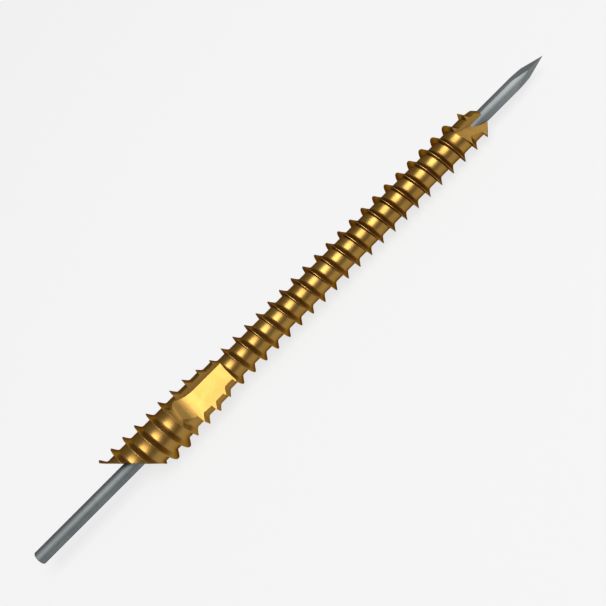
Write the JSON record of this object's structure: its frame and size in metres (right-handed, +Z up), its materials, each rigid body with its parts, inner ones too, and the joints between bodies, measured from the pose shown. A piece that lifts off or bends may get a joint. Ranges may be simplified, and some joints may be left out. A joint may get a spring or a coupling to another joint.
{
  "type": "pedicle screw shank",
  "caption": "Cannulated dual-diameter bone screw shank with a slanting sawn end, cutting flutes and a loose pointed guide pin through its bore.",
  "frame": {"origin": "on the table, below the middle of the whole part along its length and its width", "axes": "+X along the screw towards its tip, dipping by one degree as the screw lies on its thread, turned about its axis to where it lies still; +Z up; +Y to the left of the screw, seen from above with the tip pointing ahead"},
  "size_m": [0.0948, 0.0072, 0.0074],
  "materials": {
    "anodised_titanium": "gold anodised, satin",
    "pin_steel": "ground"
  },
  "bodies": {
    "screw": {"screw_shank": "anodised_titanium"},
    "pin": {"guide_pin": "pin_steel"}
  },
  "joints": [
    {"name": "pin_slide", "type": "slide", "parent": "screw", "child": "pin", "axis": [0.9999, 0, -0.017], "range_m": [-0.068, 0.016]}
  ]
}
